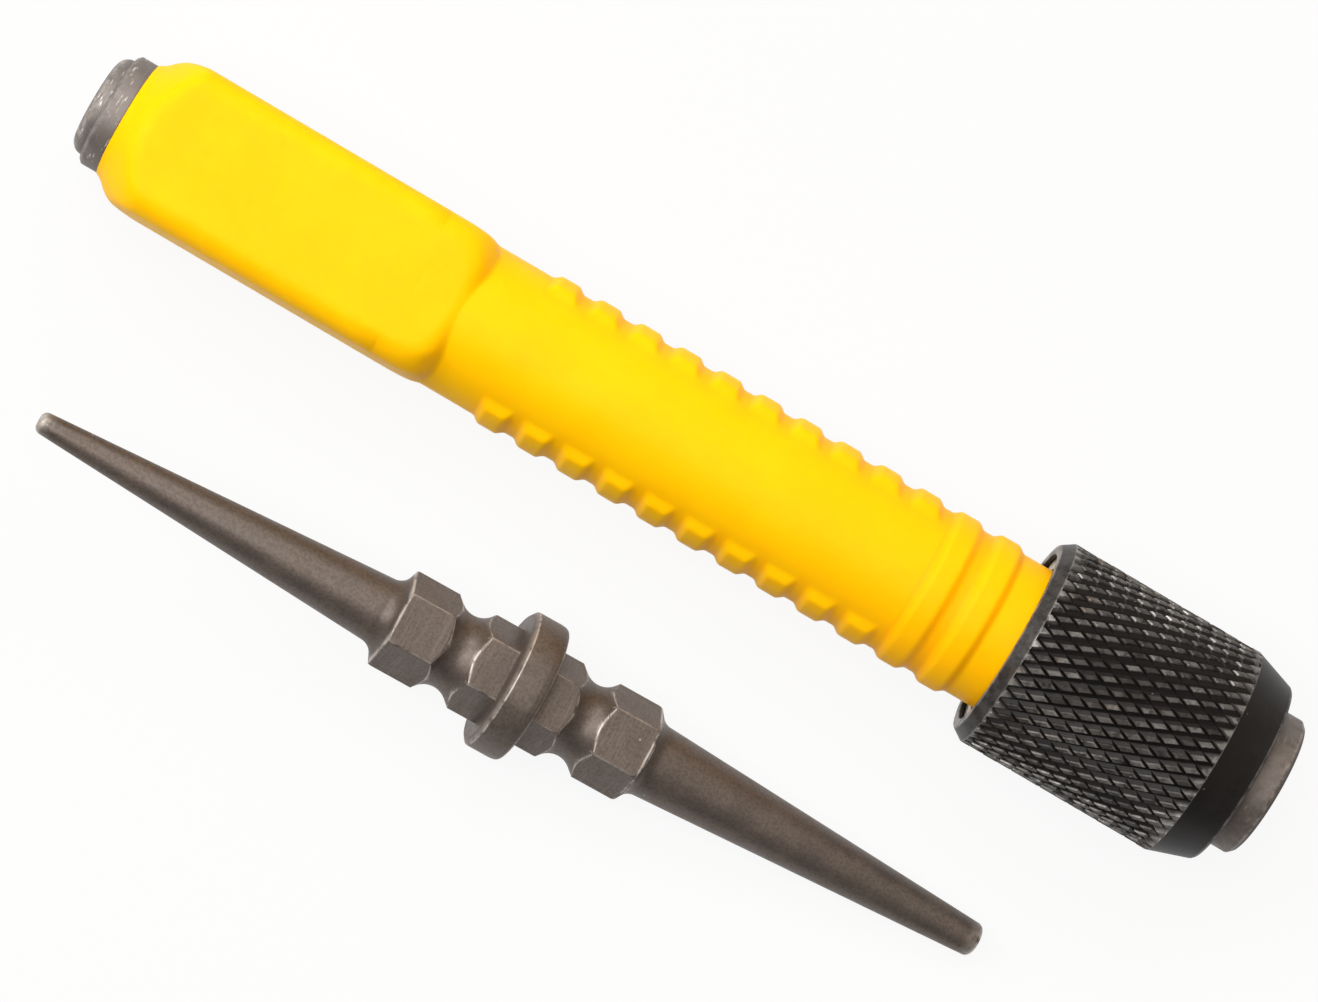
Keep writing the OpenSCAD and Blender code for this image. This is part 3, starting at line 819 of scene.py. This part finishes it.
def collar():
    """Black collar: rows of worn diamonds between a plain chamfer and a plain cone, with a stepped bore."""
    net = Knurl()
    for row in range(1, knurl_rows):
        for i in range(knurl_count):
            net.diamond(i, row)
    before = net.cut_row(0, 1)
    front = net.cut_row(knurl_rows, -1)
    for place, r in collar_outline():
        ids = net.ring(place, r, 0 if place < step_at else knurl_rows, collar_wear(place, r))
        half_cell_on = net.points[before[0]][0] < step_at <= place
        net.band(before[-1:] + before[:-1] if half_cell_on else before, ids, soft=True)
        before = ids
    net.band(before, front, soft=True)
    make("release_collar_knurl", net.points, net.faces, HOLDER, "release_collar", "collar",
         "collar_black_steel", black_steel(), sharp=35, smooth=net.smooth, wear=net.wear)


# Bit
def bit_angles():
    """Angles round the bit, closer together at the corners of its hexagon."""
    off = np.array([0, 0.5, 1.0, 1.6, 2.4, 3.5, 5, 7, 10, 14, 19, 24.5])
    sector = np.concatenate([-off[:0:-1], off, [30]])
    return np.radians(np.concatenate([sector + 30 + 60 * k for k in range(6)]))


def bit_row(angle, place, r, wear=0.0, hollow=0.0, lines=0.0):
    """One ring of the bit: its points, and its wear, painted shade in hollows and milled lines."""
    return [around(place, r, angle)] + [value + 0 * angle for value in (wear, hollow, lines)]


def shank_places():
    """Places of a shank's rows, closer together at its edges, its groove and its concave root."""
    edge = 0.05
    side = np.linspace(1.0, groove_l / 2, 9)
    rows = [[0, 0.03], np.linspace(0.1, hex_in_l - edge, 10), groove_mid - side, groove_mid + side,
            groove_mid + np.linspace(-0.8, 0.8, 9), np.linspace(groove_end + edge, root_at - 0.7, 9),
            np.arange(root_at - 0.65, shank_l, 0.06), [shank_l]]
    return np.unique(np.round(np.concatenate(rows), 4))


def shank_turning(s, root):
    """Radius that a shank is turned to in its groove and its root, and one past the hexagon elsewhere."""
    if abs(s - groove_mid) < groove_l / 2:
        drop = hex_flat / math.cos(math.radians(30)) - groove_bottom
        arc_r = ((groove_l / 2) ** 2 + drop ** 2) / 2 / drop
        return groove_bottom + arc_r - math.sqrt(arc_r ** 2 - (s - groove_mid) ** 2)
    if s > root_at:
        return root + root_r - math.sqrt(max(root_r ** 2 - (shank_l - s) ** 2, 0))
    return 3 * hex_flat


def shank_rows(angle, root, out):
    """Rows of a six-sided shank from the flange's face; out gives the place along the bit."""
    corner_soft, turned_soft, end_soft = 0.12, 0.14, 0.08
    end_r_share, end_slope = 1.12, 0.55
    corner_worn_r, root_worn_r = 3.3, 3.0
    six = hexagon(angle, hex_flat, corner_soft)
    corner = near(np.degrees(angle) % 60, 30, 1.0)
    rows = []
    for s in shank_places():
        turning = shank_turning(s, root)
        bevel = hex_flat * end_r_share + end_slope * max(root_at - s, 0)
        r = smin(smin(six, turning, turned_soft), bevel, end_soft)
        wear = np.maximum.reduce([0.9 * near(six, turning, 0.04), 0.35 * corner * (r > corner_worn_r),
                                  0.9 * near(s, root_at, 0.07) * (r > root_worn_r)])
        # Painted shade in the groove next to the hexagons and in the concave root.
        deep = abs(s - groove_mid) / 1.2 if s < groove_end + 1 else 1 - (s - root_at) / 1.5
        hollow = np.clip((six - r) / 0.5, 0, 1) * np.clip(deep, 0, 1)
        lines = np.clip(1 - (six - r) / 0.12, 0, 1)
        rows.append(bit_row(angle, out(s), r, wear, hollow, lines))
    return rows


def punch_rows(angle, root, tip, length, out):
    """Rows of a tapered punch from its root to its rounded tip."""
    tip_in = 0.004
    end = shank_l + length
    places = [shank_l + 0.2, shank_l + 0.6, *np.linspace(shank_l + 1.4, end - 1.2, 26)]
    taper = (tip - root) / (length - tip_edge)
    rows = [bit_row(angle, out(s), root + taper * (s - shank_l)) for s in places]
    for t in np.radians(np.linspace(0, 90, 9)):
        place = out(end - tip_edge * (1 - math.sin(t)))
        r = tip - tip_in - tip_edge * (1 - math.cos(t))
        rows.append(bit_row(angle, place, r, wear=0.25 + 0.6 * math.sin(t)))
    return rows


def flange_rows(angle):
    """Rows of the flange, with a bevel on the small punch's side and a soft edge on the other."""
    rim_at = flange_at + flange_edge / 2
    soft_at = flange_end - 0.08
    face_r = hex_flat + 0.7
    bevel_drop = flange_edge * 0.7
    foot_r, lines_r = 4.3, 5.0
    outline = soft_corners([
        (flange_at, face_r), (flange_at, flange_r - bevel_drop), (rim_at, flange_r - 0.01),
        (flange_end - flange_edge, flange_r - 0.003), (flange_end - 0.25, flange_r - 0.05),
        (soft_at, flange_r - 0.14), (flange_end, flange_r - 0.35), (flange_end, face_r)], k=0.04)
    rows = []
    for place, r in outline:
        wear = max(near(place, rim_at, 0.045), 0.3 * near(place, soft_at, 0.06))
        # Painted shade at the flange's foot.
        rows.append(bit_row(angle, place, r, wear, hollow=0.4 * (r < foot_r), lines=0.4 * (r > lines_r)))
    return rows


def bit():
    """The bit: two six-sided shanks with locking grooves, a flange and two tapered punches."""
    angle = bit_angles()

    def half(root_d, tip_d, length, out):
        return shank_rows(angle, root_d / 2, out) + punch_rows(angle, root_d / 2, tip_d / 2, length, out)

    rows = half(small_root_d, small_tip_d, small_l, lambda s: flange_at - s)[::-1]
    rows += flange_rows(angle)
    rows += half(large_root_d, large_tip_d, large_l, lambda s: flange_end + s)
    rings, *fields = zip(*rows)
    points, faces = turned(rings, (0, 0, 0), (bit_l, 0, 0), len(angle))
    tip_wear, tip_hollow, tip_lines = [0.9, 0.4], [0, 0], [0.7, 0.3]
    at_tips = (tip_wear, tip_hollow, tip_lines)
    wear, hollow, lines = (np.concatenate([*field, tips]) for field, tips in zip(fields, at_tips))
    make("double_punch_bit", points, faces, BIT, "bit", "punch_bit", "bit_steel", bit_steel(), sharp=38,
         wear=wear, hollow=hollow, lines=lines)


# Snap ring, spring and balls
def ring():
    """Snap ring in the collar's rear mouth, of softly squared wire with a gap."""
    sides, squareness = 12, 0.35
    turn = np.radians(np.linspace(0, 360, sides, endpoint=False))
    across, up = (np.sign(v) * np.abs(v) ** squareness for v in (np.cos(turn), np.sin(turn)))
    place = ring_at + ring_t / 2 * (1 + across)
    radius = (ring_out_r + ring_in_r) / 2 + (ring_out_r - ring_in_r) / 2 * up
    sweep = np.radians(np.linspace(ring_gap_deg / 2, 360 - ring_gap_deg / 2, 133))
    rows = [np.stack([place, -radius * math.sin(t), -radius * math.cos(t)], -1) for t in sweep]
    points = np.concatenate(rows)
    faces = [f[::-1] for f in ring_faces(len(sweep), sides)]
    faces += [tuple(range(sides)), tuple(range(len(points) - 1, len(points) - sides - 1, -1))]
    make("snap_ring", points, faces, HOLDER, "release_collar", "retaining_ring", "ring_steel",
         plain_steel("tan_ring_steel", rgb(176, 160, 136), rgb(206, 192, 168)), sharp=50)


def spring():
    """Return spring between the snap ring and the core's shoulder."""
    per_turn, sides, wire_in = 60, 10, 0.01
    k = np.arange(spring_turns * per_turn + 1)
    t = 2 * math.pi * k / per_turn
    start = ring_at + ring_t + ring_play + spring_end_clear + wire_r
    end = shoulder_at - spring_end_clear - wire_r
    path = np.stack([start + (end - start) * k / k[-1], spring_r * np.cos(t), spring_r * np.sin(t)], -1)
    along = np.gradient(path, axis=0)
    along /= np.linalg.norm(along, axis=1)[:, None]
    side = np.stack([0 * t, np.cos(t), np.sin(t)], -1)
    up = np.cross(along, side)
    q = np.radians(np.arange(sides) * 360 / sides)[None, :, None]
    wire = (wire_r - wire_in) * (np.cos(q) * side[:, None] + np.sin(q) * up[:, None])
    points = (path[:, None] + wire).reshape(-1, 3)
    faces = ring_faces(len(k), sides)
    faces += [tuple(range(sides))[::-1], tuple(range(len(points) - sides, len(points)))]
    piece = make("collar_return_spring", points, faces, HOLDER, "holder", "return_spring", "spring_steel",
                 plain_steel("drawn_spring_steel", rgb(120, 118, 116), rgb(160, 157, 153)), sharp=50)
    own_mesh(piece)


def balls():
    """The balls keep their CAD solids and get a polished finish."""
    dark, light = rgb(170, 170, 172), rgb(198, 198, 200)
    for side in ("left", "right"):
        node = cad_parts["locking_ball_" + side]
        node.data.materials.clear()
        node.data.materials.append(plain_steel("polished_ball_steel_" + side, dark, light, (0.12, 0.2)))


# Floor, light and camera
def floor_finish():
    """White floor that the camera sees as nearly plain white, and that still takes shadows."""
    white_share = 0.9
    f = Finish("white_floor")
    f.t.nodes.remove(f.shader)
    patch = f.span(f.noise(f.place(), 0.004, 3), 0.3, 0.7)
    colour = f.mix(patch, (0.6, 0.6, 0.6, 1), (0.64, 0.64, 0.64, 1))
    diffuse = f.add("ShaderNodeBsdfDiffuse", {"Color": colour})
    white = f.add("ShaderNodeEmission", {"Color": (1, 1, 1, 1), "Strength": 1.0})
    path = f.add("ShaderNodeLightPath")
    seen = f.math("ADD", path.outputs["Is Camera Ray"], path.outputs["Is Glossy Ray"])
    seen = f.math("ADD", seen, path.outputs["Is Transmission Ray"], clamp=True)
    shaders = {1: diffuse.outputs[0], 2: white.outputs[0]}
    blend = f.add("ShaderNodeMixShader", {0: f.times(seen, white_share), **shaders})
    f.put(f.output, 0, blend.outputs[0])
    return f.m


def stage():
    """Floor just below the part, of a grid of cells, in m."""
    size, cells, below = 1.6, 8, 0.00002
    wide = cells + 1
    grid = np.linspace(-size, size, wide)
    points = [(x, y, -below) for y in grid for x in grid]
    corners = [k * wide + j for k in range(cells) for j in range(cells)]
    faces = [(i, i + 1, i + wide + 1, i + wide) for i in corners]
    mesh = bpy.data.meshes.new("floor")
    mesh.from_pydata(points, [], faces)
    mesh.materials.append(floor_finish())
    floor = add_object("floor", mesh)


def sky():
    """A world that goes from a dim grey to a warm light toward one side."""
    world = bpy.data.worlds.new("studio")
    world.use_nodes = True
    t = world.node_tree
    where = t.nodes.new("ShaderNodeTexCoord")
    toward = t.nodes.new("ShaderNodeVectorMath")
    toward.operation = "DOT_PRODUCT"
    toward.inputs[1].default_value = Vector((-0.45, 0.8, 0.4)).normalized()
    span = t.nodes.new("ShaderNodeMapRange")
    span.interpolation_type = "SMOOTHSTEP"
    span.inputs["From Min"].default_value = -0.75
    span.inputs["From Max"].default_value = 0.85
    tint = t.nodes.new("ShaderNodeMix")
    tint.data_type = "RGBA"
    tint.inputs[6].default_value = (0.1, 0.1, 0.1, 1)
    tint.inputs[7].default_value = (0.62, 0.52, 0.4, 1)
    t.links.new(where.outputs["Generated"], toward.inputs[0])
    t.links.new(toward.outputs["Value"], span.inputs["Value"])
    t.links.new(span.outputs[0], tint.inputs["Factor"])
    t.links.new(tint.outputs[2], t.nodes["Background"].inputs["Color"])
    bpy.context.scene.world = world


def lamp(name, place, size, power):
    """A rectangular lamp, in m and W, that points at the part."""
    light = bpy.data.lights.new(name, "AREA")
    light.shape = "RECTANGLE"
    light.size, light.size_y = size
    light.energy = power
    lamp_object = add_object(name, light)
    lamp_object.location = place
    lamp_object.rotation_euler = (-Vector(place)).to_track_quat("-Z", "Y").to_euler()


def lights():
    """World light and three lamps."""
    sky()
    lamp("key", place=(-0.22, 0.46, 0.55), size=(0.5, 0.4), power=2.4)
    lamp("top", place=(-0.155, -0.03, 0.6), size=(0.4, 0.4), power=2.3)
    lamp("left", place=(-0.5, 0.02, 0.4), size=(0.3, 0.3), power=1.5)


def camera():
    """Camera of the photo: place and target in mm, roll, and focal length in the photo's pixels."""
    place = Vector((-24.566, -11.5487, 347.8354)) * MM
    target = Vector((0.40582, 4.58947, 6)) * MM
    roll = math.radians(30.2952)
    focal_px, image_px = 4998.5, 1318
    back = (place - target).normalized()
    level = Vector((0, 1, 0)).cross(back).normalized()
    upright = back.cross(level)
    right = math.cos(roll) * level + math.sin(roll) * upright
    up = -math.sin(roll) * level + math.cos(roll) * upright
    data = bpy.data.cameras.new("camera")
    data.sensor_fit = "HORIZONTAL"
    data.sensor_width = 36
    data.lens = focal_px * data.sensor_width / image_px
    data.clip_start = 0.01
    camera_object = add_object("camera", data)
    camera_object.matrix_world = Matrix((right, up, back)).transposed().to_4x4()
    camera_object.location = place
    bpy.context.scene.camera = camera_object


grip()
core()
collar()
bit()
ring()
spring()
balls()
stage()
lights()
camera()
bpy.context.scene.view_settings.view_transform = "Standard"
bpy.context.view_layer.update()
